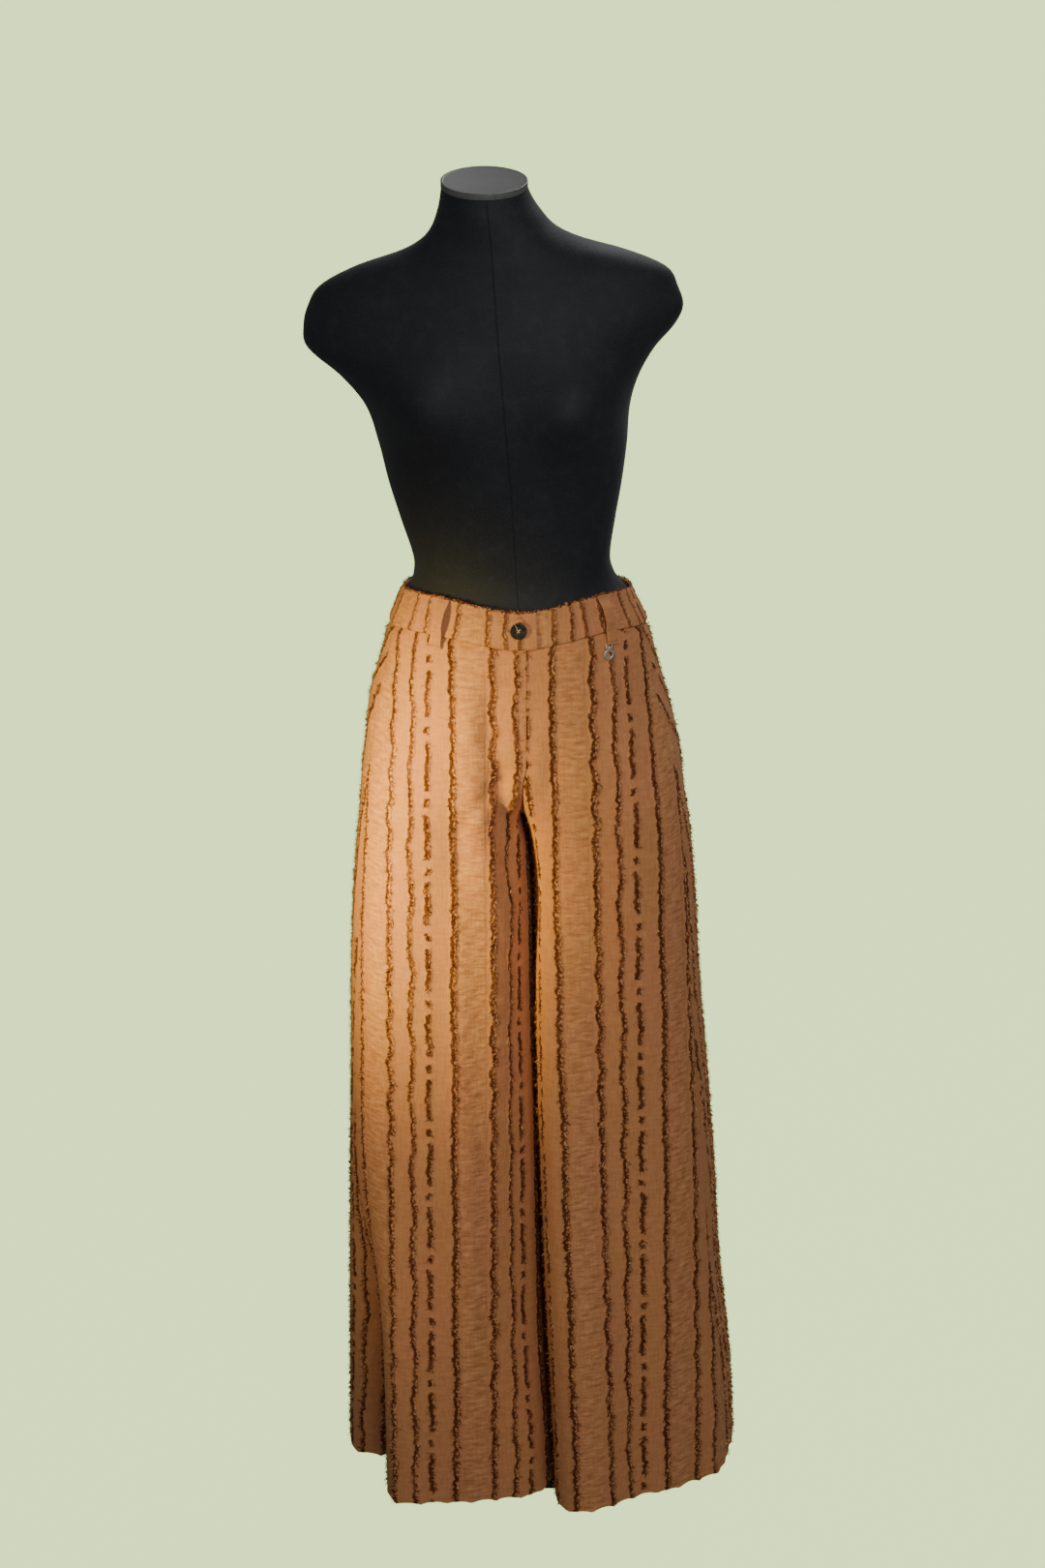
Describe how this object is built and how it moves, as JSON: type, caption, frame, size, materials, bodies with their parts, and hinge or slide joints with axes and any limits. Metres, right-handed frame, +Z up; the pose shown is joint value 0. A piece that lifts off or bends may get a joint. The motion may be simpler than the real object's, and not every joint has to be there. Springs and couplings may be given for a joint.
{
  "type": "wide-leg trousers on a limbless dress form",
  "caption": "Full-length wide-leg trousers in clipped-stripe cloth with a waistband, belt loops, front fly and hanging ring charm, worn by a limbless dress form on a flat base.",
  "frame": {"origin": "on the floor under the body's centre line, on the underside of the base plate", "axes": "+Z up, the front faces -Y, the wearer's left is +X"},
  "size_m": [0.484, 0.338, 1.5126],
  "materials": {
    "stripe_cloth": "matt caramel cloth with clipped, frayed lengthwise stripes",
    "black_jersey": "smooth black jersey cover",
    "cap_grey": "satin dark grey",
    "black_horn": "polished near-black",
    "silver_metal": "bright polished",
    "stand_black": "satin black"
  },
  "bodies": {
    "trousers_on_form": {"front_right": "stripe_cloth", "front_left": "stripe_cloth", "back_right": "stripe_cloth", "back_left": "stripe_cloth", "waistband_right": "stripe_cloth", "waistband_left": "stripe_cloth", "belt_loop_front_right": "stripe_cloth", "belt_loop_front_left": "stripe_cloth", "belt_loop_side_right": "stripe_cloth", "belt_loop_side_left": "stripe_cloth", "belt_loop_centre_back": "stripe_cloth", "dress_form": "black_jersey", "neck_cap": "cap_grey", "button": "black_horn", "charm_bar": "silver_metal", "stand_pole": "stand_black", "base_plate": "stand_black"},
    "charm": {"ring_charm": "silver_metal"}
  },
  "joints": [
    {"name": "charm_swing", "type": "hinge", "parent": "trousers_on_form", "child": "charm", "pos_m": [0.0926, -0.0833, 1.0204], "axis": [-0.8525, -0.5228, 0], "range_deg": [0, 90]}
  ]
}
